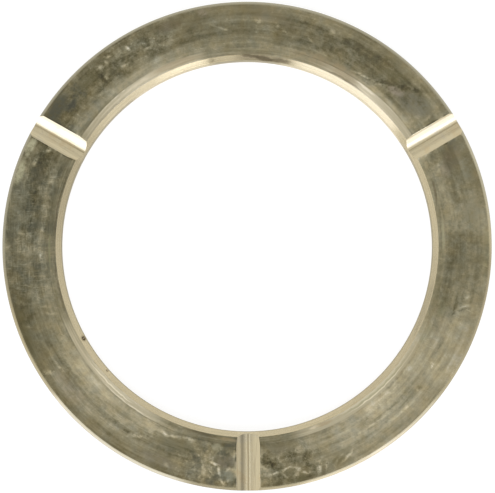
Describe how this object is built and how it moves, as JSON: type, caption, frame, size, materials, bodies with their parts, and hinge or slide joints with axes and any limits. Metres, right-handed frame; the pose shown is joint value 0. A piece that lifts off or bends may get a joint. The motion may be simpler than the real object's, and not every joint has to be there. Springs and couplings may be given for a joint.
{
  "type": "differential thrust washer",
  "caption": "Flat bronze thrust washer with chamfered bore and rim and radial oil grooves across its thrust face.",
  "frame": {"origin": "centre of the plain back face, on the axis of the bore", "axes": "+Z along the axis of the bore, from the back face to the thrust face; +Y opposite one oil groove, which lies on -Y"},
  "size_m": [0.1, 0.1, 0.005],
  "materials": {
    "bronze": "turned bronze, tarnished and lightly scratched on the thrust face, brighter in the grooves and on the chamfers"
  },
  "bodies": {
    "root": {"thrust_washer": "bronze"}
  },
  "joints": []
}
